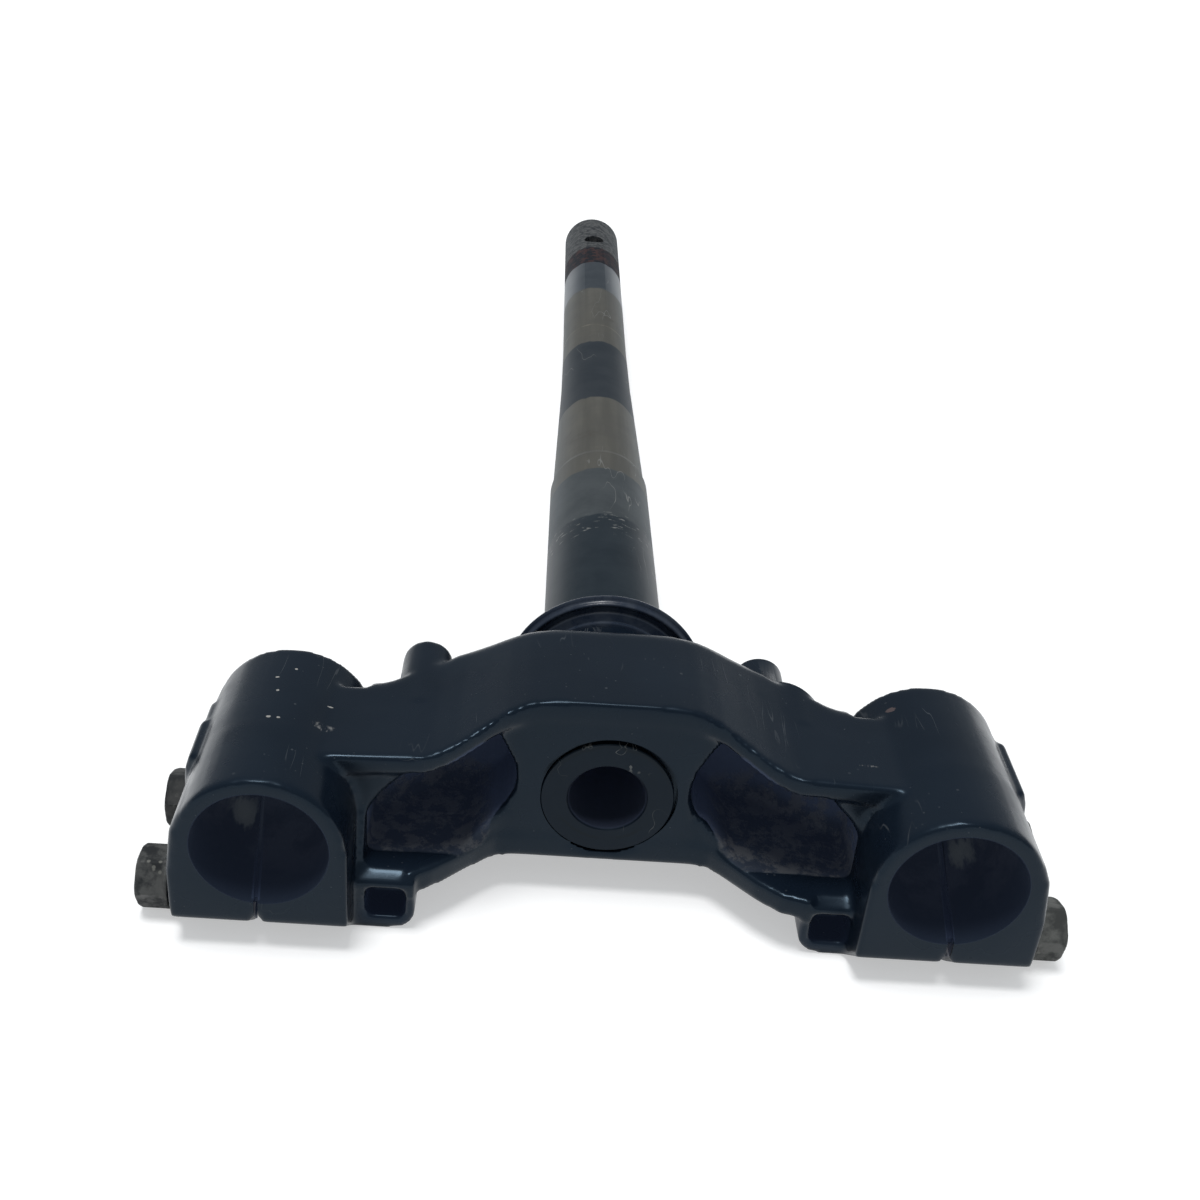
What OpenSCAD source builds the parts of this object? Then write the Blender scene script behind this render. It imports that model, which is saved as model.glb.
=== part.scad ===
// Lower steering yoke with its stem, two split fork clamps and their pinch bolts.
// It lies on the flat faces of the clamps: +X right, +Y along the stem to its tip, +Z up.

/* [Fork clamps] */
// distance between the two fork bores
fork_centres = 165; // [150:1:190]
// diameter of each fork bore
fork_bore_d = 33; // [27:0.5:37]
// wall around the fork bore
clamp_wall = 4.2; // [3.5:0.1:7]
// length of a clamp along the fork
clamp_l = 54.5; // [46:0.5:70]
// width of the pinch slot
slot_w = 2.2; // [1.5:0.1:4]
// angle by which the pinch slot leans outward along the clamp
slot_lean = 5.6; // [0:0.2:7]

/* [Pinch bolts] */
// nominal diameter of the pinch bolts
bolt_d = 10; // [8:1:10]
// width across flats of the bolt heads
bolt_flats = 14; // [12:1:15]
// height of a bolt head over its washer face
bolt_head_h = 7.2; // [5:0.2:9]
// distance of the first bolt from the clamp's lower face
bolt_first = 14.6; // [13:0.2:18]
// distance between the two bolts of a clamp
bolt_pitch = 31.2; // [27:0.2:40]
// how far the bolt seats stand out from the round of the clamp
boss_out = 4; // [3:0.5:9]

/* [Stem] */
// distance from the clamps' lower faces to the stem tip
stem_reach = 485; // [380:1:560]
// diameter of the bearing seat at the stem's base
stem_base_d = 33; // [28:0.2:36]
// diameter of the stem between its two tapers
stem_mid_d = 31; // [27:0.2:34]
// diameter of the upper half of the stem
stem_top_d = 26.4; // [22:0.2:29]
// bore of the stem tube
stem_bore_d = 19.4; // [14:0.2:21]
// diameter of the cross hole near the tip
cross_hole_d = 9.4; // [6:0.2:11]
// distance of the cross hole from the tip
cross_hole_in = 35; // [20:1:50]

/* [Bridge] */
// height of the rear wall over the stem axis
crown_h = 28.6; // [27:0.1:34]
// height of the rear wall over the stem axis beside the clamps
shoulder_h = 17; // [14:0.1:19]
// thickness of the rear wall
wall_t = 5; // [3.5:0.1:7]
// thickness of the front wall
front_t = 6.6; // [4:0.1:8]
// depth of the front wall's outer face under the stem axis
front_drop = 20; // [18:0.2:23]
// thickness of the plate that closes the pockets
plate_t = 7; // [5:0.5:10]
// how far the middle of the bridge stands back from the clamps' lower faces
arch_in = 27; // [22:0.5:34]
// how far the ends of the bridge stand back from the clamps' lower faces
ends_in = 15.6; // [12:0.2:20]
// distance of the left pocket's round end from the middle
pocket_in = 22.8; // [20:0.2:26]
// how much further out the right lug and pocket lie than the left ones
right_shift = 3.2; // [0:0.2:4]
// height of the stem seat over the clamps' lower faces
seat_reach = 77; // [70:0.5:84]
// radius of the steering stops
stop_r = 6.7; // [5:0.1:8]
// how far the steering stops reach from the clamps' lower faces
stop_reach = 69; // [64:0.5:74]

/* [Dust seal] */
// outer diameter of the dust seal
seal_d = 55.6; // [50:0.2:58]
// thickness of the dust seal
seal_t = 4.4; // [3:0.2:7]

/* [Hidden] */
$fn = 96;
eps = 0.01;
fork_r = fork_bore_d / 2;
fork_x = fork_centres / 2;
clamp_r = fork_r + clamp_wall;
// flat outer side of a clamp, from the fork axis
side_out = clamp_r + 1.6;
stem_base_r = stem_base_d / 2;
stem_mid_r = stem_mid_d / 2;
stem_top_r = stem_top_d / 2;
stem_bore_r = stem_bore_d / 2;
// the stem is thicker where it is pressed into the yoke, up to the bearing seat
stem_press_r = stem_base_r + 0.3;
// radial gap between the stem and its hole in the yoke
press_gap = 0.02;
bolt_r = bolt_d / 2;
head_corner_r = bolt_flats / 2 / cos(30);
// radial gap around a bolt in the outer half of a clamp
bolt_gap = 0.4;
// radial gap around a bolt's thread in the inner half of a clamp
thread_gap = 0.05;
// wall left between a bolt hole and the fork bore
bolt_wall = 0.9;
bolt_drop = fork_r + bolt_wall + bolt_r + bolt_gap;
// height of the stem axis over the surface that the clamps lie on
axis_h = bolt_drop + head_corner_r + 0.1;
bolt_boss_r = head_corner_r + 0.1;
seat_x = fork_x + clamp_r + boss_out;
bolt_end_x = fork_x - clamp_r + 0.6;
// distance of the slot from the fork axis at the clamp's lower face
slot_out = 1.4;
// the lower face of a clamp keeps this wall under the bore, then slopes down to the flat
face_wall = 5.9;
face_slope_y = 9.6;
parting_y = 23;
near_draft = 0.3;
far_draft = 0.4;
pocket_out = fork_x - clamp_r - 2.5;
lug_x = fork_x - clamp_r - 15.4;
lug_round = 5.5;
// the middle of the bridge lies behind its rim by this much
face_in = arch_in + 1.2;
foot_y = arch_in - 0.4;
groove_r = stem_base_r + 1.2;
groove_d = 1.8;
boss_r = stem_base_r + 4.2;
neck_r = stem_base_r + 4;
front_inner = front_t - front_drop;
pocket_mid_z = (crown_h - wall_t + front_inner) / 2 + 1;
pocket_end_h = (crown_h - wall_t - front_inner) / 2 - 5;
stop_x = fork_x - clamp_r - 13.2;
stop_z = shoulder_h - 6;
far_mid_y = seat_reach - 18;
far_end_y = clamp_l - 8.5;
// stations along the stem
bearing_start = seat_reach + seal_t;
bearing_end = bearing_start + 18.6;
mid_start = bearing_end + 50;
mid_end = mid_start + 34;
top_start = mid_end + 66;
top_blend = 12;

// turns a flat outline in X and Z into a solid between two stations along the stem
module along_y(y0, y1) {
    translate([0, y1, 0]) rotate([90, 0, 0]) linear_extrude(y1 - y0) children();
}

// a round bar along the stem, cone-shaped where its two radii differ
module bar_y(y0, y1, r0, r1) {
    translate([0, y0, 0]) rotate([-90, 0, 0]) cylinder(h = y1 - y0, r1 = r0, r2 = r1);
}

// turns a flat outline in Y and Z into a solid between two stations across the part
module along_x(x0, x1) {
    translate([x0, 0, 0]) rotate([90, 0, 90]) linear_extrude(x1 - x0) children();
}

module both_sides() {
    children();
    mirror([1, 0, 0]) children();
}

// moves the working frame, with the stem axis as its Y axis, to the part's own frame
module placed() {
    translate([0, -stem_reach / 2, axis_h]) children();
}

module soft_rect(w, h, r) {
    translate([r, 0]) square([w - 2 * r, h]);
    translate([0, r]) square([w, h - 2 * r]);
    for (x = [r, w - r], y = [r, h - r])
        translate([x, y]) circle(r, $fn = 32);
}

// outline of the bridge's rear wall seen along the stem, lowered by t for its inner face
function crown_line(t) = [
    [-fork_x, shoulder_h - t - 0.5], [-fork_x + 20, shoulder_h - t],
    [-44, shoulder_h - t + 0.6], [-38, shoulder_h - t + 2.4], [-32, shoulder_h - t + 5.2],
    [-26, crown_h - t - 3.2], [-21, crown_h - t - 1.2], [-15, crown_h - t - 0.2], [-9, crown_h - t],
    [9, crown_h - t], [15, crown_h - t - 0.2], [21, crown_h - t - 1.2], [26, crown_h - t - 3.2],
    [32, shoulder_h - t + 5.2], [38, shoulder_h - t + 2.4], [44, shoulder_h - t + 0.6],
    [fork_x - 20, shoulder_h - t], [fork_x, shoulder_h - t - 0.5]];

// everything under the rear wall, lowered by t, and over the level low
module under_crown(t, low) {
    polygon(concat(crown_line(t), [[fork_x, low], [-fork_x, low]]));
}

// plan of the rear wall and the middle, from the near edge, set back by in, to the far edge
module rear_plan(in) {
    polygon([[-fork_x, ends_in + in], [-46, ends_in + 0.4 + in], [-40, ends_in + 2.6 + in],
             [-33, ends_in + 6.4 + in], [-27, arch_in - 1.6 + in], [-21, arch_in + in],
             [21, arch_in + in], [27, arch_in - 1.6 + in], [33, ends_in + 6.4 + in],
             [40, ends_in + 2.6 + in], [46, ends_in + 0.4 + in], [fork_x, ends_in + in],
             [fork_x, far_end_y], [58, far_end_y], [48, far_mid_y - 2.5], [40, far_mid_y],
             [-40, far_mid_y], [-48, far_mid_y - 2.5], [-58, far_end_y], [-fork_x, far_end_y]]);
}

module plate_plan() {
    difference() {
        rear_plan(0);
        polygon([[-fork_x, 0], [-fork_x, far_end_y - plate_t], [-56, far_end_y - plate_t],
                 [-44, far_mid_y - plate_t], [44, far_mid_y - plate_t],
                 [56, far_end_y - plate_t], [fork_x, far_end_y - plate_t], [fork_x, 0]]);
    }
}

module front_plan() {
    polygon([[-lug_x - 2, 9.6], [-43, 12.8], [-38, 17], [-32, 22.6], [-27, arch_in - 0.6],
             [-20, arch_in], [20, arch_in], [27, arch_in - 0.6], [32, 22.6], [38, 17],
             [44, 12.8], [lug_x + right_shift + 2, 9.6], [lug_x + right_shift + 2, far_end_y + 4],
             [40, far_mid_y], [-40, far_mid_y], [-lug_x - 2, far_end_y + 4]]);
}

module in_plan(in) {
    intersection() {
        along_y(0, seat_reach) children();
        translate([0, 0, -50]) linear_extrude(100) rear_plan(in);
    }
}

module crown_wall() {
    in_plan(0) difference() {
        under_crown(0, -1);
        under_crown(wall_t, -60);
    }
}

// a pocket seen along the stem: a round inner end, and a cut corner beside the clamp
module pocket_outline(inner, outer) {
    intersection() {
        under_crown(wall_t, -60);
        polygon(concat(
            [for (a = [75:-25:-75]) [inner + 8 * (1 - cos(a)), pocket_mid_z + pocket_end_h * sin(a)]],
            [[inner + 13, front_inner], [outer, front_inner], [outer, 1], [outer - 3.3, 7],
             [outer - 8, shoulder_h - wall_t - 0.2], [outer - 18, crown_h], [inner + 7, crown_h]]));
    }
}

// the middle around the stem, the corners beside the clamps and the pockets between them
module bridge_body() {
    difference() {
        in_plan(face_in - arch_in) under_crown(0, front_inner);
        along_y(-1, far_mid_y - plate_t) {
            pocket_outline(pocket_in - 2.4, pocket_out + right_shift);
            mirror([1, 0]) pocket_outline(pocket_in, pocket_out);
        }
    }
}

module pocket_plate() {
    intersection() {
        along_y(0, seat_reach) under_crown(0, -front_drop);
        translate([0, 0, -50]) linear_extrude(100) plate_plan();
    }
}

module front_wall() {
    translate([0, 0, -front_drop]) linear_extrude(front_t) front_plan();
}

// flat web between a pocket and its clamp
module side_web(shift) {
    along_x(pocket_out + shift, fork_x - 6) polygon([
        [ends_in + 1.2, 1], [9.6, -front_drop], [far_end_y, -front_drop], [far_end_y, 1]]);
}

// hollow end block of the threaded half of a clamp
module inner_lug(shift) {
    recess_top = bolt_drop - 6;
    wide = fork_x - 6 - lug_x - shift;
    difference() {
        intersection() {
            along_x(lug_x, fork_x - 6) polygon([
                [9.6, -axis_h], [8.4, 1 - recess_top], [12, 3.2 - recess_top],
                [clamp_l - 5, 3.2 - recess_top], [clamp_l - 5, -axis_h]]);
            along_y(0, clamp_l) translate([lug_x + shift, -axis_h]) {
                soft_rect(wide, axis_h, lug_round);
                translate([lug_round, 0]) square([wide - lug_round, axis_h]);
            }
        }
        along_y(0, 19) translate([lug_x + shift + 2.6, 3.8 - axis_h])
            soft_rect(9.6, axis_h - recess_top - 4.4, 1.6);
    }
}

// D-shaped clamp: round over the bore, square and flat under it, with a pad on its outer side
module clamp_body() {
    pad_y = bolt_first + 13;
    translate([fork_x, 0, 0]) {
        bar_y(0, 1, clamp_r - near_draft - 1, clamp_r - near_draft);
        bar_y(1, parting_y, clamp_r - near_draft, clamp_r);
        bar_y(parting_y, clamp_l - 1, clamp_r, clamp_r - far_draft);
        bar_y(clamp_l - 1, clamp_l, clamp_r - far_draft, clamp_r - far_draft - 1);
        intersection() {
            along_x(-clamp_r, side_out) polygon([
                [0, 0], [0, -fork_r - face_wall], [face_slope_y, -axis_h], [clamp_l - 2, -axis_h],
                [clamp_l, 2 - axis_h], [clamp_l, 5], [0, 5]]);
            along_y(0, clamp_l) polygon([
                [-clamp_r, 0], [-clamp_r, -axis_h], [side_out, -axis_h], [side_out, -10],
                [clamp_r - 0.4, 4], [0, 4]]);
        }
        intersection() {
            bar_y(pad_y, bolt_first + bolt_pitch + 1, clamp_r + 1.3, clamp_r + 1.3);
            along_y(0, clamp_l) polygon([[12, -14], [30, -14], [30, 12], [19, 8.6]]);
        }
    }
}

// long boss that the two bolt heads bear on
module bolt_boss() {
    for (y = [bolt_first, bolt_first + bolt_pitch])
        translate([fork_x, y, -bolt_drop]) rotate([0, 90, 0])
            cylinder(h = seat_x - fork_x, r = bolt_boss_r);
    translate([fork_x, bolt_first, -bolt_drop - bolt_boss_r])
        cube([seat_x - fork_x - 1.2, bolt_pitch, 2 * bolt_boss_r]);
}

module clamp_holes() {
    translate([fork_x, 0, 0]) {
        bar_y(-1, clamp_l + 1, fork_r, fork_r);
        bar_y(-1, 1.9, fork_r + 2.9, fork_r);
        bar_y(clamp_l - 1.2, clamp_l + 1, fork_r, fork_r + 2.2);
        translate([slot_out, 0, -axis_h - 1]) rotate([0, 0, -slot_lean])
            translate([-slot_w / 2, -4, 0]) cube([slot_w, clamp_l + 8, axis_h]);
    }
    for (y = [bolt_first, bolt_first + bolt_pitch])
        translate([bolt_end_x - 0.4, y, -bolt_drop]) rotate([0, 90, 0]) {
            threaded = fork_x + slot_out + y * tan(slot_lean) - bolt_end_x;
            cylinder(h = threaded + 0.4, r = bolt_r + thread_gap);
            translate([0, 0, threaded + 0.4]) cylinder(h = seat_x, r = bolt_r + bolt_gap);
        }
}

module yoke() {
    color([0.03, 0.035, 0.045])
    placed() difference() {
        union() {
            crown_wall();
            bridge_body();
            pocket_plate();
            front_wall();
            bar_y(face_in, far_mid_y + 4, boss_r, boss_r);
            bar_y(far_mid_y, seat_reach, neck_r, neck_r);
            side_web(right_shift);
            mirror([1, 0, 0]) side_web(0);
            inner_lug(right_shift);
            mirror([1, 0, 0]) inner_lug(0);
            both_sides() {
                clamp_body();
                bolt_boss();
                translate([stop_x, 0, stop_z]) bar_y(far_end_y - 6, stop_reach - 1, stop_r, stop_r);
                translate([stop_x, 0, stop_z]) bar_y(stop_reach - 1, stop_reach, stop_r, stop_r - 1);
            }
        }
        both_sides() clamp_holes();
        bar_y(0, seat_reach + 1, stem_press_r + press_gap, stem_press_r + press_gap);
        bar_y(face_in - 1, face_in + groove_d, groove_r, groove_r);
    }
}

module stem() {
    color([0.42, 0.41, 0.39])
    placed() difference() {
        union() {
            bar_y(foot_y, foot_y + 2.4, stem_press_r - 1.4, stem_press_r);
            bar_y(foot_y + 2.4, bearing_start, stem_press_r, stem_press_r);
            bar_y(bearing_start, bearing_end, stem_base_r, stem_base_r);
            bar_y(bearing_end, mid_start, stem_base_r, stem_mid_r + 0.3);
            bar_y(mid_start, mid_end, stem_mid_r + 0.3, stem_mid_r);
            bar_y(mid_end, top_start, stem_mid_r, stem_top_r + 0.4);
            bar_y(top_start, top_start + top_blend, stem_top_r + 0.4, stem_top_r);
            bar_y(top_start + top_blend, stem_reach - 1.2, stem_top_r, stem_top_r);
            bar_y(stem_reach - 1.2, stem_reach, stem_top_r, stem_top_r - 1.2);
        }
        bar_y(foot_y - 1, stem_reach + 1, stem_bore_r, stem_bore_r);
        bar_y(foot_y - eps, foot_y + 1, stem_bore_r + 1, stem_bore_r);
        translate([0, stem_reach - cross_hole_in, -stem_base_r - 1])
            cylinder(h = 2 * stem_base_r + 2, d = cross_hole_d);
    }
}

// washer-like rubber disc with two raised lips on the side that faces the yoke
module dust_seal() {
    seal_r = seal_d / 2;
    color([0.02, 0.02, 0.022])
    placed() translate([0, seat_reach, 0]) rotate([-90, 0, 0]) difference() {
        union() {
            cylinder(h = seal_t - 1, r = neck_r + 0.4);
            translate([0, 0, 1.2]) cylinder(h = seal_t - 1.8, r = seal_r - 1.4);
            translate([0, 0, seal_t - 1.6]) cylinder(h = 0.6, r1 = seal_r - 1, r2 = seal_r);
            translate([0, 0, seal_t - 1]) cylinder(h = 1, r1 = seal_r, r2 = seal_r - 1.2);
        }
        translate([0, 0, -1]) cylinder(h = seal_t + 2, r = stem_press_r + press_gap);
        translate([0, 0, 1.2 - eps]) difference() {
            cylinder(h = 0.7, r = seal_r - 2.4);
            translate([0, 0, -1]) cylinder(h = 3, r = seal_r - 4.4);
        }
    }
}

// hexagon bolt with a washer face, its head at the outer side of a clamp
module pinch_bolt(y, turn) {
    color([0.3, 0.28, 0.24])
    placed() translate([seat_x, y, -bolt_drop]) rotate([0, 90, 0]) {
        rotate([0, 0, turn]) {
            intersection() {
                translate([0, 0, 1.1]) cylinder(h = bolt_head_h, r = head_corner_r, $fn = 6);
                cylinder(h = 1.1 + bolt_head_h, r1 = head_corner_r + 6, r2 = head_corner_r - 0.9);
            }
            cylinder(h = 1.1 + eps, r = head_corner_r - 0.1);
        }
        translate([0, 0, bolt_end_x - seat_x]) cylinder(h = seat_x - bolt_end_x + eps, r = bolt_r);
    }
}

module bolt_right_low() { pinch_bolt(bolt_first, 12); }
module bolt_right_high() { pinch_bolt(bolt_first + bolt_pitch, 40); }
module bolt_left_low() { mirror([1, 0, 0]) pinch_bolt(bolt_first, 24); }
module bolt_left_high() { mirror([1, 0, 0]) pinch_bolt(bolt_first + bolt_pitch, 8); }

yoke();
stem();
dust_seal();
bolt_left_low();
bolt_left_high();
bolt_right_low();
bolt_right_high();
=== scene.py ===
import math

import bmesh
import bpy
from mathutils import Matrix, Vector


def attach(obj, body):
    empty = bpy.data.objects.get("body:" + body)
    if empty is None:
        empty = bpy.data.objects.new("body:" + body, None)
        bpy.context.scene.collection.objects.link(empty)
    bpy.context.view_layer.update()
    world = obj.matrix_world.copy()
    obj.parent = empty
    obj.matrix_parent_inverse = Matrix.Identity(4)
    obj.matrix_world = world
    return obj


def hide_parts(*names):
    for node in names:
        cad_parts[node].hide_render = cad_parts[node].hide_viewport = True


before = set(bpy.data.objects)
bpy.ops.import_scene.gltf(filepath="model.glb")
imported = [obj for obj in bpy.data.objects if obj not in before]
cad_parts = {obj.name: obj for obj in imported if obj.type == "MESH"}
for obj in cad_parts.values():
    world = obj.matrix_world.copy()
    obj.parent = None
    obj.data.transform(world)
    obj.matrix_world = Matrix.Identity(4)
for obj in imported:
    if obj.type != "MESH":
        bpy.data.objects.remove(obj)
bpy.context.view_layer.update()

# Sizes of the solids in mm. In the working frame the stem axis is the Y axis, Y counts from
# the clamps' lower faces, and Z from the stem axis.
STEM_REACH = 485
AXIS_H = 30.983
FORK_X = 82.5
FORK_R = 16.5
CLAMP_L = 56
SEAT_REACH = 77
SEAL_T = 4.4
PRESS_R = 16.8
COLLAR_R = 17.8
BASE_R = 17.5
MID_R = 16.8
TOP_R = 13.4
BORE_R = 9.7
FOOT_Y = 26.6
CROSS_Y = 450
CROSS_R = 4.7
CLAMP_R = 20.7
POCKET_OUT = 59.3
FACE_Y = 27.2
FAR_MID = 63.2
SLOT_OUT = 1.4
CAD_RISE = 0.098
SLOT_RISE = 0.135
RIGHT_STOP_X = 40.6
STOP_Z = 11
STOP_R = 6.7
STOP_REACH = 69

# Where the stem's bands end, counted like Y.
PAINTED_END = 149
GREY_END = 183
LOW_BARE_END = 249
DARK_END = 310
HIGH_BARE_END = 377
BLUED_END = 414
RUST_END = 437

# Paint chips: place in the working frame and reach along X, Y and Z.
CHIPS = (
    ((-84, 25.3, 20.6), (0.7, 0.5, 2)),
    ((-81.5, 25.1, 20.7), (0.5, 0.4, 2)),
    ((-83.7, 36.5, 20.6), (0.45, 0.4, 2)),
    ((-84.8, 42.4, 20.5), (0.6, 0.4, 2)),
    ((-80.6, 46.4, 20.5), (0.45, 0.4, 2)),
    ((-70.5, 35.5, 16.8), (0.9, 0.3, 2)),
)


def at(x, y, z):
    """A point of the working frame, in mm, as a point of the part's frame, in metres."""
    return Vector((x, y - STEM_REACH / 2, z + AXIS_H)) / 1000


def rgb(r, g, b):
    return (r, g, b, 1.0)


# Shader maths
class Sock:
    """An output socket that takes part in plain arithmetic."""

    def __init__(self, paint, out):
        self.paint, self.out = paint, out

    def op(self, kind, *values):
        return self.paint.node("ShaderNodeMath", {"operation": kind}, values)

    def __add__(self, other):
        return self.op("ADD", self, other)

    def __sub__(self, other):
        return self.op("SUBTRACT", self, other)

    def __rsub__(self, other):
        return self.op("SUBTRACT", other, self)

    def __mul__(self, other):
        return self.op("MULTIPLY", self, other)

    def high(self, other):
        return self.op("MAXIMUM", self, other)

    def low(self, other):
        return self.op("MINIMUM", self, other)

    def size(self):
        return self.op("ABSOLUTE", self)

    def root(self):
        return self.op("SQRT", self)


class Paint:
    """A material's nodes, with one method that makes any node."""

    def __init__(self, name):
        self.mat = bpy.data.materials.new(name)
        self.mat.use_nodes = True
        self.tree = self.mat.node_tree
        self.tree.nodes.clear()
        self.output = self.tree.nodes.new("ShaderNodeOutputMaterial")
        self.bsdf = self.tree.nodes.new("ShaderNodeBsdfPrincipled")
        self.tree.links.new(self.bsdf.outputs[0], self.output.inputs[0])
        self.object = self.node("ShaderNodeTexCoord", {}, {}, "Object")

    def node(self, kind, settings, values=(), want=0):
        made = self.tree.nodes.new(kind)
        for key, value in settings.items():
            setattr(made, key, value)
        pairs = values.items() if isinstance(values, dict) else enumerate(values)
        for key, value in pairs:
            self.join(made.inputs[key], value)
        return Sock(self, made.outputs[want])

    def join(self, socket, value):
        if isinstance(value, Sock):
            self.tree.links.new(value.out, socket)
        else:
            socket.default_value = value

    def stretched(self, stretch):
        return self.node("ShaderNodeMapping", {}, {"Vector": self.object, "Scale": stretch})

    def noise(self, scale, detail=3, rough=0.55, stretch=(1, 1, 1)):
        """Noise of scale features in a metre, about 0.5."""
        return self.node("ShaderNodeTexNoise", {}, {"Vector": self.stretched(stretch), "Scale": scale,
                                                     "Detail": detail, "Roughness": rough})

    def specks(self, scale, radius, share, stretch=(1, 1, 1)):
        """Round specks in the given share of scale cells in a metre."""
        values = {"Vector": self.stretched(stretch), "Scale": scale}
        near = self.node("ShaderNodeTexVoronoi", {}, values, "Distance")
        colour = self.node("ShaderNodeTexVoronoi", {}, values, "Color")
        pick = self.node("ShaderNodeSeparateColor", {}, [colour], 0)
        inside = self.step(near, radius, radius * 0.6)
        return inside * self.step(pick, 1 - share, 1 - share + 0.01)

    def step(self, value, low, high):
        """Rises from 0 at low to 1 at high, and falls where low is over high."""
        flip = low > high
        made = self.node("ShaderNodeMapRange", {"clamp": True, "interpolation_type": "SMOOTHSTEP"},
                         {"Value": value, "From Min": min(low, high), "From Max": max(low, high)})
        return 1 - made if flip else made

    def between(self, value, low, high, soft):
        return self.step(value, low - soft, low + soft) * self.step(value, high + soft, high - soft)

    def mix(self, amount, a, b):
        return self.node("ShaderNodeMix", {"data_type": "RGBA"}, {0: amount, 6: a, 7: b}, 2)

    def blend(self, amount, a, b):
        return self.node("ShaderNodeMix", {"data_type": "FLOAT"}, {0: amount, 2: a, 3: b}, 0)

    def place(self):
        """X, Y and Z of the working frame, in mm."""
        x = self.node("ShaderNodeSeparateXYZ", {}, [self.object], 0) * 1000
        y = self.node("ShaderNodeSeparateXYZ", {}, [self.object], 1) * 1000 + STEM_REACH / 2
        z = self.node("ShaderNodeSeparateXYZ", {}, [self.object], 2) * 1000 - AXIS_H
        return x, y, z

    def spot(self, place, centre, reach):
        """A blot at a place of the working frame, with its reach along X, Y and Z in mm."""
        total = None
        for axis, middle, half in zip(place, centre, reach):
            part = (axis - middle) * (1 / half)
            part = part * part
            total = total + part if total else part
        return self.step(total.root() + self.noise(900, 2) * 0.8, 1.4, 1.1)

    def set(self, **values):
        for key, value in values.items():
            self.join(self.bsdf.inputs[key.replace("_", " ")], value)

    def relief(self, *layers):
        """Chains bumps, each a height, a strength and a distance in mm."""
        normal = None
        for height, strength, distance in layers:
            values = {"Height": height, "Strength": strength, "Distance": distance / 1000}
            if normal:
                values["Normal"] = normal
            normal = self.node("ShaderNodeBump", {}, values)
        self.set(Normal=normal)


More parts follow.
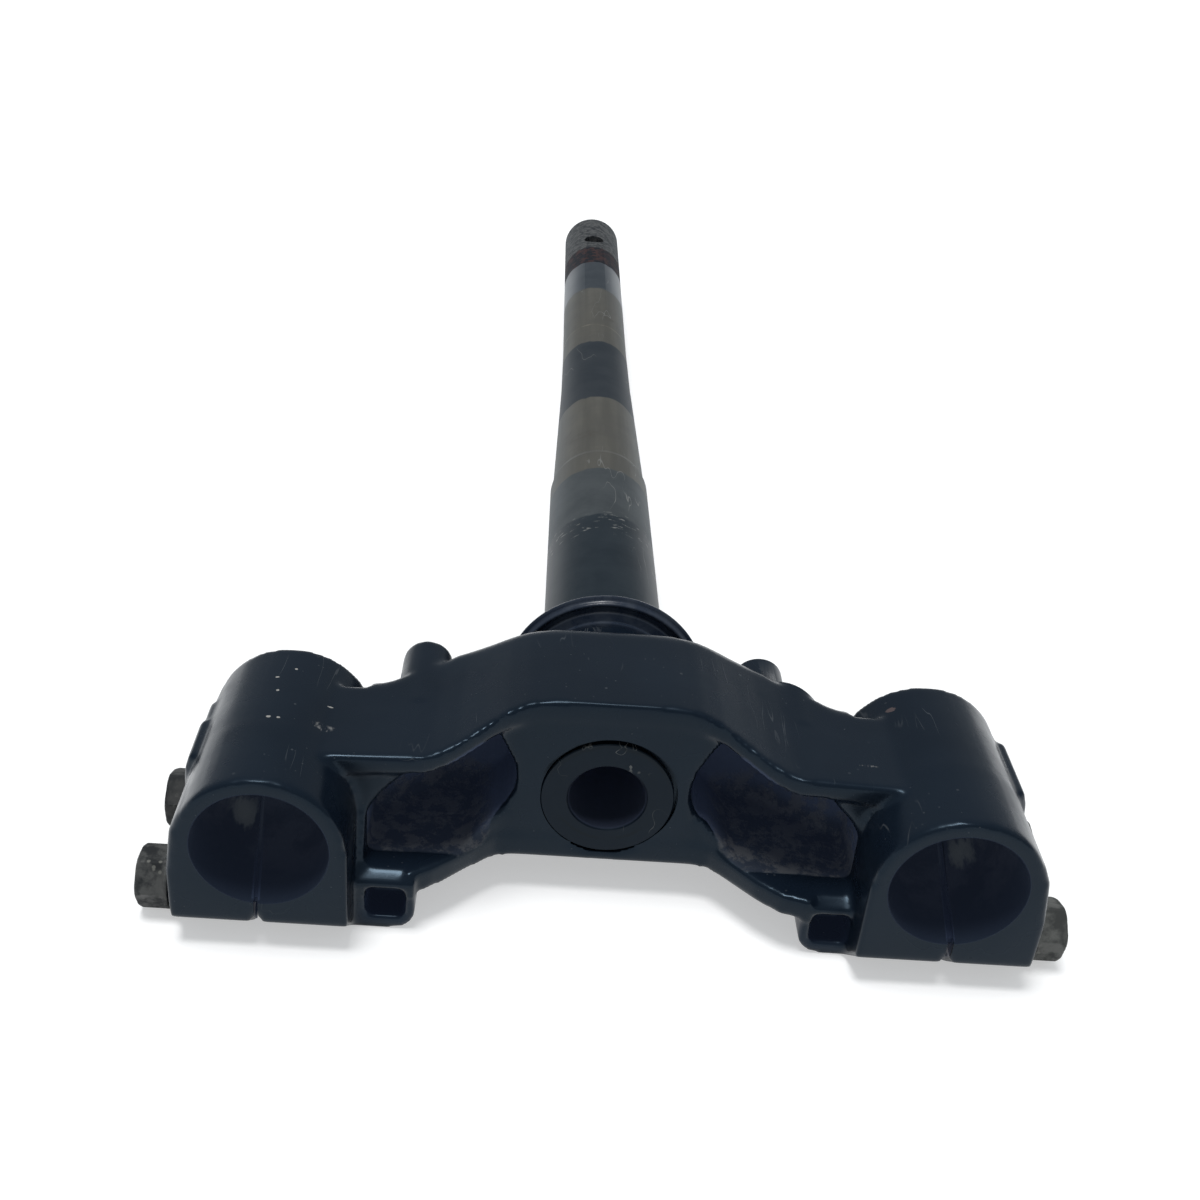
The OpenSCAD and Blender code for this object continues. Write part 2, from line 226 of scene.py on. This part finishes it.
# Materials
def gloss_black():
    p = Paint("gloss_black_paint")
    x, y, z = p.place()
    out = x.size()
    base = p.mix(p.step(p.noise(24), 0.35, 0.65), rgb(0.0038, 0.0072, 0.0135), rgb(0.0052, 0.0094, 0.0168))
    rough = p.blend(p.step(p.noise(55), 0.35, 0.65), 0.21, 0.33)

    scuff_lines = p.step((p.noise(160, 2, 0.5, (1, 0.12, 1)) - 0.5).size(), 0.006, 0.002)
    scuffs = scuff_lines * p.step(p.noise(38, 3), 0.58, 0.66)
    specks = p.specks(420, 0.2, 0.05).high(p.specks(900, 0.22, 0.06)) * p.step(p.noise(30), 0.45, 0.6)
    marks = scuffs.high(specks)
    base = p.mix(marks * 0.75, base, rgb(0.05, 0.055, 0.062))
    rough = p.blend(marks, rough, 0.55)

    for centre, reach in CHIPS:
        base = p.mix(p.spot((x, y, z), centre, reach), base, rgb(0.3, 0.29, 0.27))
    rubs = p.spot((x, y, z), (-70.8, 26.6, 17.6), (3.6, 1.6, 2)).high(p.spot((x, y, z), (62.4, 24.6, 17), (2.4, 0.5, 2)))
    base = p.mix(rubs * p.step(p.noise(700, 3, 0.7, (1, 0.4, 1)), 0.42, 0.58), base, rgb(0.13, 0.13, 0.13))
    base = p.mix(p.spot((x, y, z), (72, 48.2, 17.7), (1.3, 1, 2)), base, rgb(0.075, 0.055, 0.055))

    under_crown = p.step(z - (34.5 - out * 0.5).high(13.5), 0.5, -0.5)
    in_pocket = p.between(out, 21.5, 63, 0.8) * under_crown * p.step(z, -14.6, -13.8)
    in_pocket = in_pocket * p.step(y - (56.1 - out * 1.05).low(28.8).high(18.6), -0.4, 0.4) * p.step(y, 58.5, 57.5)
    # Inside the pockets the paint is painted a lighter blue, painted light that lifts the pockets' shade, and darker
    # towards the pocket floor, painted shade there.
    low = p.step(z, -6, -12)
    crust = p.step(p.noise(190, 5, 0.7), 0.44, 0.58) * in_pocket * p.step(z - (out - 40) * 0.35, -1, -8)
    base = p.mix(in_pocket, base, p.mix(low, rgb(0.05, 0.064, 0.105), rgb(0.016, 0.019, 0.026)))
    base = p.mix(crust * 0.7, base, rgb(0.085, 0.083, 0.08))
    rough = p.blend(in_pocket, rough, 0.72)

    radius = ((out - FORK_X) * (out - FORK_X) + z * z).root()
    in_bore = p.step(radius, FORK_R + 0.35, FORK_R + 0.1)
    # The bore wall is lighter and bluer in blotches away from the mouth.
    bore_blotches = p.step(p.noise(70, 4, 0.6), 0.4, 0.6)
    past_mouth = p.step(y, 3, 24)
    base = p.mix(in_bore, base, p.mix(bore_blotches * past_mouth, rgb(0.01, 0.014, 0.024), rgb(0.042, 0.046, 0.062)))
    rough = p.blend(in_bore, rough, 0.72)
    # A light olive-grey streaked patch on the bore wall past the mouth is a painted patch of light, standing in for
    # the light seen through the bore's far end.
    bore_light_patch = p.between(out - FORK_X, 6.5, 13, 2.5) * p.step(z, -1, -6) * p.between(y, 24, 36, 5)
    bore_light_streaks = p.step(p.noise(160, 4, 0.6, (1, 0.3, 1)) + bore_light_patch * 0.3, 0.62, 0.76)
    base = p.mix(in_bore * bore_light_patch * bore_light_streaks, base, rgb(0.24, 0.245, 0.22))

    # A near-black crescent on the face round the top of the stem hole is painted shade, the shade of the gap between
    # the stem foot and the face, with raised roughness.
    foot = (x * x + z * z).root() + (p.noise(120, 3) - 0.5) * 2.2
    yoke_shade_crescent = p.between(foot, 16.6, 18.2, 0.5) * p.step(z, 4, 10) * p.step(y, FACE_Y + 2, FACE_Y + 1)
    base = p.mix(yoke_shade_crescent * 0.8, base, rgb(0.0012, 0.002, 0.0032))
    rough = p.blend(yoke_shade_crescent, rough, 0.75)

    slot_x = out - FORK_X - SLOT_OUT - y * SLOT_RISE
    in_slot = p.step(slot_x.size(), 1.1, 0.9) * p.step(z, -15.5, -16.5) * p.between(y, 1.2, CLAMP_L - 1, 0.5)
    # The slot faces and the sheet closing the slot are painted a lighter blue than the paint, painted light over the
    # slot's shade.
    base = p.mix(in_slot, base, rgb(0.03, 0.04, 0.07))

    p.set(Base_Color=base, Roughness=rough, Specular_IOR_Level=0.24, Specular_Tint=rgb(0.57, 0.79, 1.0))
    # Pockets, clamp bores, slots and the lug recesses glow faintly blue though they are no lamps: painted light that
    # lifts their shade.
    recess = p.between(out, 43, 62, 0.5) * p.between(z, -29.6, -20.4, 0.4) * p.step(y, 8.5, 10)
    glowing_hollow = in_pocket.high(in_bore).high(recess).high(in_slot)
    p.set(Emission_Color=p.mix(glowing_hollow, rgb(0, 0, 0), rgb(0.0034, 0.0048, 0.0092)), Emission_Strength=1.0)
    p.relief((p.noise(28, 2), 0.3, 0.9), (p.noise(260, 2), 0.12, 0.16), (crust, 0.5, 0.4))
    return p.mat


def worn_steel():
    p = Paint("banded_steel")
    x, y, z = p.place()
    ragged = (p.noise(210, 3) - 0.5) * 3
    level = y + ragged
    streak = p.step(p.noise(150, 3, 0.6, (1, 0.06, 1)), 0.3, 0.7)
    mottle = p.step(p.noise(90, 4, 0.65), 0.32, 0.68)
    bare = p.mix(streak, rgb(0.08, 0.074, 0.061), rgb(0.112, 0.104, 0.087))
    bare = p.mix(mottle * 0.4, bare, rgb(0.066, 0.062, 0.056))
    grey = p.mix(mottle, rgb(0.042, 0.047, 0.05), rgb(0.057, 0.063, 0.066))
    pitted = p.mix(p.step(p.noise(420, 4, 0.7), 0.4, 0.6), rgb(0.028, 0.028, 0.03), rgb(0.092, 0.092, 0.09))
    rust = p.mix(p.step(p.noise(300, 4, 0.7), 0.45, 0.62), rgb(0.011, 0.011, 0.014), rgb(0.05, 0.026, 0.023))

    bands = (
        (40, p.mix(mottle, rgb(0.001, 0.003, 0.0075), rgb(0.0022, 0.0048, 0.0098)), 0.0, 0.3),
        (PAINTED_END, p.mix(mottle, rgb(0.0075, 0.0125, 0.018), rgb(0.013, 0.019, 0.025)), 0.0, 0.42),
        (GREY_END, grey, 0.1, 0.5),
        (LOW_BARE_END, bare, 0.18, 0.5),
        (DARK_END, p.mix(mottle, rgb(0.015, 0.019, 0.0245), rgb(0.022, 0.026, 0.0315)), 0.05, 0.5),
        (HIGH_BARE_END, bare, 0.18, 0.5),
        (BLUED_END, p.mix(mottle, rgb(0.016, 0.02, 0.026), rgb(0.029, 0.034, 0.041)), 0.1, 0.33),
        (RUST_END, rust, 0.1, 0.75),
        (STEM_REACH, pitted, 0.1, 0.65),
    )
    colour, metal, rough = bands[0][1:]
    for (end, *_), (_, next_colour, next_metal, next_rough) in zip(bands, bands[1:]):
        past = p.step(level, end - 0.5, end + 0.5)
        colour = p.mix(past, colour, next_colour)
        metal = p.blend(past, metal, next_metal)
        rough = p.blend(past, rough, next_rough)

    worn_ring = p.between(y, 329.2, 330.4, 0.4) * p.step(mottle, 0.1, 0.6)
    colour = p.mix(worn_ring * 0.6, colour, rgb(0.2, 0.18, 0.14))
    rub = p.between(level, PAINTED_END - 12, PAINTED_END + 2, 2) * p.step(p.noise(260, 3, 0.6, (1, 3, 1)), 0.6, 0.66)
    scratch_lines = p.step((p.noise(130, 2, 0.5, (1, 0.2, 1)) - 0.5).size(), 0.005, 0.0015)
    scratches = scratch_lines * p.step(p.noise(30, 3), 0.55, 0.62)
    colour = p.mix(rub.high(scratches) * 0.7, colour, rgb(0.2, 0.2, 0.19))
    stain = p.step(p.noise(45, 4, 0.7), 0.62, 0.75) * p.between(y, GREY_END, HIGH_BARE_END, 3)
    colour = p.mix(stain * 0.45, colour, rgb(0.06, 0.045, 0.03))

    radius = (x * x + z * z).root()
    # At the foot a near-black crescent over the top and a broken arc below are painted shade, the shade of the gap
    # between the foot and the yoke.
    foot = radius + (p.noise(120, 3) - 0.5) * 2
    stem_shade_crescent = p.between(foot, 15.6, 17, 0.5) * p.step(z, 4, 10)
    stem_shade_arc = p.between(foot, 12.4, 13.2, 0.3) * p.step(z, -5, -8) * p.step(p.noise(150), 0.4, 0.6)
    at_foot = p.step(y, FOOT_Y + 2, FOOT_Y + 1)
    colour = p.mix(stem_shade_crescent.high(stem_shade_arc) * at_foot * 0.8, colour, rgb(0.0012, 0.002, 0.0032))
    # Inside the bore the wall is near black by the foot, painted a light blue further in and dark again near the tip:
    # painted light standing in for the light down the tube.
    inside = p.step(radius, BORE_R + 0.3, BORE_R + 0.1)
    deep_bore_light = p.step(y, FOOT_Y, 70) * p.step(y, STEM_REACH, STEM_REACH - 43)
    colour = p.mix(inside, colour, p.mix(deep_bore_light, rgb(0.02, 0.025, 0.042), rgb(0.16, 0.19, 0.32)))
    metal = metal * (1 - inside)
    rough = p.blend(inside, rough, 0.8)

    pits = p.step(y, RUST_END - 20, RUST_END + 2)
    p.set(Base_Color=colour, Metallic=metal, Roughness=rough, Specular_IOR_Level=0.2,
          Specular_Tint=rgb(0.62, 0.82, 1.0))
    p.relief((p.noise(420, 4, 0.7) * pits, 0.9, 0.5), (p.noise(160, 3, 0.6, (1, 3.5, 1)), 0.12, 0.1))
    return p.mat


def seal_rubber():
    p = Paint("seal_rubber")
    dust = p.step(p.noise(120, 4, 0.6), 0.5, 0.7)
    p.set(Base_Color=p.mix(dust, rgb(0.017, 0.025, 0.042), rgb(0.03, 0.039, 0.056)),
          Roughness=p.blend(dust, 0.26, 0.45), Specular_IOR_Level=0.3)
    p.relief((p.noise(300, 2), 0.1, 0.12))
    return p.mat


def dull_zinc():
    p = Paint("dull_zinc")
    grime = p.step(p.noise(170, 4, 0.65), 0.4, 0.62)
    white = p.specks(650, 0.4, 0.2) * p.step(p.noise(120), 0.45, 0.6)
    # The bolts' colour is set by place: lighter on the right, darker on the left, darkest on the left high bolt.
    left = p.step(p.place()[0], 20, -20)
    high = p.step(p.place()[1], 22, 26)
    clean = p.mix(left, rgb(0.1, 0.102, 0.096), p.mix(high, rgb(0.075, 0.076, 0.074), rgb(0.022, 0.023, 0.023)))
    base = p.mix(grime, clean, p.mix(left, rgb(0.04, 0.042, 0.041), rgb(0.017, 0.019, 0.021)))
    base = p.mix(white * 0.6, base, rgb(0.2, 0.2, 0.18))
    # The shanks inside the clamps are painted a dark blue-black, painted shade.
    shank_shade = p.step(p.place()[0].size(), FORK_X + 16, FORK_X + 15)
    p.set(Base_Color=p.mix(shank_shade, base, rgb(0.006, 0.009, 0.015)), Metallic=0.15,
          Roughness=p.blend(grime, 0.5, 0.75), Specular_IOR_Level=0.3)
    p.relief((p.noise(380, 3, 0.6), 0.35, 0.2))
    return p.mat


# Mesh helpers
def new_object(name, mesh):
    obj = bpy.data.objects.new(name, mesh)
    bpy.context.scene.collection.objects.link(obj)
    return obj


def baked(obj):
    """Applies every modifier of obj to its mesh."""
    depsgraph = bpy.context.evaluated_depsgraph_get()
    mesh = bpy.data.meshes.new_from_object(obj.evaluated_get(depsgraph))
    obj.modifiers.clear()
    old = obj.data
    obj.data = mesh
    bpy.data.meshes.remove(old)
    return obj


def built(name, bm):
    mesh = bpy.data.meshes.new(name)
    bm.to_mesh(mesh)
    bm.free()
    return new_object(name, mesh)


def drum(name, start, end, radius, sides=128):
    """A closed round bar between two points, its radius in mm."""
    bm = bmesh.new()
    length = (end - start).length
    bmesh.ops.create_cone(bm, cap_ends=True, segments=sides, radius1=radius / 1000, radius2=radius / 1000,
                          depth=length)
    turn = (end - start).to_track_quat("Z", "Y").to_matrix().to_4x4()
    bmesh.ops.transform(bm, verts=bm.verts, matrix=Matrix.Translation((start + end) / 2) @ turn)
    return built(name, bm)


def spun(name, rings, sides=192):
    """A closed body turned about the stem axis from rings of a radius and a station, in mm."""
    bm = bmesh.new()
    angles = [2 * math.pi * i / sides for i in range(sides)]
    loops = [[bm.verts.new(at(r * math.cos(a), y, r * math.sin(a))) for a in angles] for r, y in rings]
    for this, other in zip(loops, loops[1:] + loops[:1]):
        for i in range(sides):
            j = (i + 1) % sides
            bm.faces.new((this[i], this[j], other[j], other[i]))
    bmesh.ops.recalc_face_normals(bm, faces=bm.faces)
    return built(name, bm)


def skinned(bm, sections):
    """Adds a closed skin over sections, each a list of as many points of the part's frame."""
    loops = [[bm.verts.new(point) for point in section] for section in sections]
    faces = [bm.faces.new(loops[0]), bm.faces.new(loops[-1])]
    for this, other in zip(loops, loops[1:]):
        for i in range(len(this)):
            j = (i + 1) % len(this)
            faces.append(bm.faces.new((this[i], this[j], other[j], other[i])))
    bmesh.ops.recalc_face_normals(bm, faces=faces)


def bar(bm, x, z, start, end, radius, sides=96):
    """Adds a round bar along the stem, in mm."""
    turns = [2 * math.pi * i / sides for i in range(sides)]
    skinned(bm, [[at(x + radius * math.cos(a), y, z + radius * math.sin(a)) for a in turns] for y in (start, end)])


def prism(bm, outline, start, end):
    """Adds an outline of X and Z, drawn out along the stem, in mm."""
    skinned(bm, [[at(x, y, z) for x, z in outline] for y in (start, end)])


def beam(bm, stations):
    """Adds a bar across the part through stations of X, the near and far Y, and the low and high Z."""
    skinned(bm, [[at(x, near, low), at(x, far, low), at(x, far, high), at(x, near, high)]
                 for x, near, far, low, high in stations])


def cut(obj, tool, kind="DIFFERENCE"):
    mod = obj.modifiers.new("cut", "BOOLEAN")
    mod.operation, mod.solver, mod.object = kind, "MANIFOLD", tool
    baked(obj)
    bpy.data.objects.remove(tool)


def thinned(obj, ratio):
    mod = obj.modifiers.new("thin", "DECIMATE")
    mod.ratio = ratio
    return baked(obj)


def soft_copy(node, name, voxel, passes, add=None):
    """A copy of a CAD node with softened edges, voxel in mm, and with what add puts on it."""
    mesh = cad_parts[node].data.copy()
    bm = bmesh.new()
    bm.from_mesh(mesh)
    bmesh.ops.remove_doubles(bm, verts=bm.verts, dist=1e-6)
    if add:
        add(bm)
    bm.to_mesh(mesh)
    bm.free()
    mesh.materials.clear()
    obj = new_object(name, mesh)
    mod = obj.modifiers.new("skin", "REMESH")
    mod.mode, mod.voxel_size = "VOXEL", voxel / 1000
    mod = obj.modifiers.new("soften", "SMOOTH")
    mod.factor, mod.iterations = 0.5, passes
    return baked(obj)


def finish_piece(obj, material, node, sharp=None):
    mesh = obj.data
    mesh.materials.clear()
    mesh.materials.append(material)
    mesh.polygons.foreach_set("material_index", [0] * len(mesh.polygons))
    mesh.polygons.foreach_set("use_smooth", [True] * len(mesh.polygons))
    if sharp:
        mesh.set_sharp_from_angle(angle=math.radians(sharp))
    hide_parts(node)
    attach(obj, "root")


# Pieces
def crown_z(x):
    """Height of the rear wall over the stem axis."""
    knots = ((0, 28.6), (9, 28.6), (15, 28.4), (21, 27.4), (26, 25.4), (32, 22.2), (38, 19.4), (44, 17.6), (62.5, 17))
    for (x0, z0), (x1, z1) in zip(knots, knots[1:]):
        if abs(x) <= x1:
            return z0 + (z1 - z0) * (abs(x) - x0) / (x1 - x0)
    return knots[-1][1]


def far_y(x):
    """Far edge of the rear wall."""
    return FAR_MID - max(0, min(18, abs(x) - 40)) * 0.72


def yoke_forms(bm):
    """Fuller edges of the casting: mouths, far ends, cheeks and pads of the clamps, and the bridge's far edge."""
    for side in (-1, 1):
        middle = side * FORK_X
        for y, other, low in ((1.2, 9.8, -21.5), (9.8, CLAMP_L - 2.6, -30.6)):
            skinned(bm, [[at(side * (FORK_X + SLOT_OUT + b * CAD_RISE + x), b, z)
                          for x, z in ((-1.5, low), (1.5, low), (1.5, -12), (-1.5, -12))] for b in (y, other)])
        bar(bm, middle, 0, 0.1, 4, CLAMP_R - 0.6)
        bar(bm, middle, 0, 24, CLAMP_L, CLAMP_R - 0.05)
        prism(bm, [(middle + side * x, z) for x, z in ((-20.5, 1), (-20.5, -30.6), (21.5, -30.6), (21.5, 1))],
              46, CLAMP_L)
        cheek = ((12, -20.5), (22.7, -20.5), (22.9, -9), (21.4, 3), (19.2, 8), (12, 8))
        prism(bm, [(middle + side * x, z) for x, z in cheek], 1.2, CLAMP_L - 1)
        prism(bm, [(middle + side * x, z) for x, z in ((12, -30.6), (22.7, -30.6), (22.7, -19), (12, -19))],
              11, CLAMP_L - 1)
        pad_start, pad_end = (28, 49) if side > 0 else (23, 38)
        pad = [(22.8 * math.cos(math.radians(a)), 22.8 * math.sin(math.radians(a))) for a in range(-36, 25, 6)]
        prism(bm, [(middle + side * x, z) for x, z in [(14, -13)] + pad + [(14, 8)]], pad_start, pad_end)
        out = POCKET_OUT + (3.2 if side > 0 else 0)
        corner = ((out + 0.6, -1.4), (out, -1), (out - 3.6, 5), (out - 10, 11.9), (out - 10, 13), (out + 0.6, 13))
        prism(bm, [(side * x, z) for x, z in corner], 17.4, 44)
    face = [(-28.7, -13.6), (-25.5, -11), (-23.2, -6), (-22.6, 2), (-23.6, 9), (-26.5, 15), (-28.5, 18.5),
            (-26, 23.4), (-21, 26), (-9, 27.6), (9, 27.6), (21, 26), (26, 23.4), (26.5, 18.5), (24.5, 15),
            (21.6, 9), (20.6, 2), (21.2, -6), (23.5, -11), (26.7, -13.6)]
    prism(bm, face, FACE_Y, FACE_Y + 4)
    across = [i * 62 / 20 for i in range(-20, 21)]
    for back, fall in ((0, 2.8), (0.6, 1.6), (1.5, 0.7), (3, 0.15), (5, 0)):
        beam(bm, [(x, far_y(x) - 14, far_y(x) - back, -19.8 + back / 2, crown_z(x) - fall) for x in across])
    arch = ((27, 26.2), (32, 21.4), (38, 15), (44, 10.4), (51, 8.4))
    beam(bm, [(x, y, y + 3.6, -19.9, -13.6) for x, y in arch])


def slot_block(side, half, low, high, margin):
    """A block in the pinch slot of a clamp, to open it, or to close it with a sheet that stands in for the slot's
    shade.
    """
    bm = bmesh.new()
    corners = ((-half, low), (half, low), (half, high), (-half, high))
    skinned(bm, [[at(side * (FORK_X + SLOT_OUT + y * SLOT_RISE + x), y, z) for x, z in corners]
                 for y in (-margin, CLAMP_L + margin)])
    return built("tool", bm)


def far_side_tool():
    """A block behind the right end of the bridge."""
    bm = bmesh.new()
    beam(bm, [(x, far_y(x) + 0.1, 76, 1, 21) for x in (40.4, 45, 50, 55, 57)])
    return built("tool", bm)


def stop_tool():
    bm = bmesh.new()
    bar(bm, RIGHT_STOP_X, STOP_Z, 56, STOP_REACH, STOP_R - 0.1, 48)
    return built("tool", bm)


def make_yoke(material):
    obj = soft_copy("yoke", "yoke_casting", 0.85, 6, yoke_forms)
    cut(obj, far_side_tool())
    cut(obj, stop_tool(), "UNION")
    for side in (-1, 1):
        cut(obj, drum("tool", at(side * FORK_X, -2, 0), at(side * FORK_X, CLAMP_L + 2, 0), FORK_R))
        cut(obj, slot_block(side, 0.75 if side > 0 else 0.5, -AXIS_H - 1, -2, 3))
        # A thin sheet closes each slot low down, put in as the shade in the slot.
        cut(obj, slot_block(side, 1.2, -18.6, -17.2, -3), "UNION")
    cut(obj, drum("tool", at(0.4, FOOT_Y - 2, 1), at(0.4, FACE_Y + 1.8, 1), PRESS_R + 0.4))
    cut(obj, drum("tool", at(0, FOOT_Y - 2, 0), at(0, SEAT_REACH + 2, 0), PRESS_R + 0.02))
    thinned(obj, 0.55)
    finish_piece(obj, material, "yoke", 50)


def make_stem(material):
    end = SEAT_REACH + SEAL_T
    rings = [(BORE_R, FOOT_Y + 1.2), (BORE_R + 0.5, FOOT_Y + 0.6), (PRESS_R - 0.25, FOOT_Y + 0.6),
             (PRESS_R, FOOT_Y + 0.85), (PRESS_R, SEAT_REACH), (COLLAR_R, SEAT_REACH), (COLLAR_R, end - 0.1),
             (BASE_R, end), (BASE_R, end + 18.6), (MID_R + 0.02, 195.6), (MID_R - 0.1, 196.4),
             (MID_R - 0.66, 198.4), (MID_R - 0.76, 199.4), (13.97, 280), (13.85, 284), (TOP_R + 0.02, 324),
             (TOP_R, 330), (TOP_R, STEM_REACH - 1.6), (TOP_R - 0.4, STEM_REACH - 0.5),
             (TOP_R - 1.2, STEM_REACH), (BORE_R + 0.5, STEM_REACH), (BORE_R, STEM_REACH - 0.6)]
    obj = spun("stem_tube", rings)
    cut(obj, drum("tool", at(0, CROSS_Y, -20), at(0, CROSS_Y, 20), CROSS_R, 64))
    finish_piece(obj, material, "stem", 32)


def make_seal(material):
    foot = SEAT_REACH
    rings = [(COLLAR_R + 0.02, foot), (20.5, foot), (20.9, foot + 0.3), (20.9, foot + 1), (21.2, foot + 1.25),
             (23.1, foot + 1.2), (23.4, foot + 1.4), (23.7, foot + 1.9), (25.0, foot + 1.9), (25.4, foot + 1.4),
             (25.8, foot + 1.2), (26.2, foot + 1.3), (26.4, foot + 1.7), (26.5, foot + 2.4), (27, foot + 2.75),
             (27.5, foot + 2.8), (27.8, foot + 3.2), (27.7, foot + 3.6), (27.2, foot + 4.1), (26.6, foot + SEAL_T),
             (COLLAR_R + 0.02, foot + SEAL_T)]
    finish_piece(spun("dust_seal_ring", rings), material, "dust_seal", 50)


def make_bolts(material):
    for node in ("bolt_left_low", "bolt_left_high", "bolt_right_low", "bolt_right_high"):
        obj = thinned(soft_copy(node, node + "_worn", 0.32, 3), 0.4)
        finish_piece(obj, material, node)


# Floor, light and camera
def make_floor():
    bm = bmesh.new()
    bmesh.ops.create_grid(bm, x_segments=1, y_segments=1, size=6)
    floor = built("floor", bm)
    floor.location.z = -0.0001
    p = Paint("pale_floor")
    seen = p.node("ShaderNodeLightPath", {}, {}, "Is Camera Ray")
    for ray in ("Is Glossy Ray", "Is Transmission Ray"):
        seen = seen + p.node("ShaderNodeLightPath", {}, {}, ray)
    p.set(Base_Color=rgb(0.64, 0.64, 0.64), Roughness=0.9, Specular_IOR_Level=0.1, Emission_Strength=1.0,
          Emission_Color=p.mix(seen.low(1), rgb(0, 0, 0), rgb(0.45, 0.45, 0.45)))
    floor.data.materials.append(p.mat)


def make_world():
    world = bpy.data.worlds.new("studio")
    world.use_nodes = True
    bpy.context.scene.world = world
    ground = world.node_tree.nodes["Background"]
    ground.inputs["Color"].default_value = rgb(0.87, 0.945, 1.0)
    ground.inputs["Strength"].default_value = 0.4


def make_sun():
    data = bpy.data.lights.new("overhead", "SUN")
    data.energy, data.angle = 2.3, math.radians(20)
    sun = bpy.data.objects.new("overhead", data)
    bpy.context.scene.collection.objects.link(sun)
    sun.rotation_euler = (math.radians(3), math.radians(-7), 0)


def make_camera():
    data = bpy.data.cameras.new("camera")
    data.sensor_width = 36
    data.lens = 1468.8 / 1200 * 36
    data.shift_x, data.shift_y = 0.055, -0.0075
    data.clip_start = 0.01
    camera = bpy.data.objects.new("camera", data)
    bpy.context.scene.collection.objects.link(camera)
    right = Vector((0.9981, 0.0249, 0.0559))
    up = Vector((-0.0608, 0.5076, 0.8595))
    pose = Matrix((right, up, right.cross(up))).transposed().to_4x4()
    pose.translation = at(-24.08, -264.16, 231.05)
    camera.matrix_world = pose
    bpy.context.scene.camera = camera


make_yoke(gloss_black())
make_stem(worn_steel())
make_seal(seal_rubber())
make_bolts(dull_zinc())
make_floor()
make_world()
make_sun()
make_camera()
bpy.context.scene.view_settings.view_transform = "Standard"
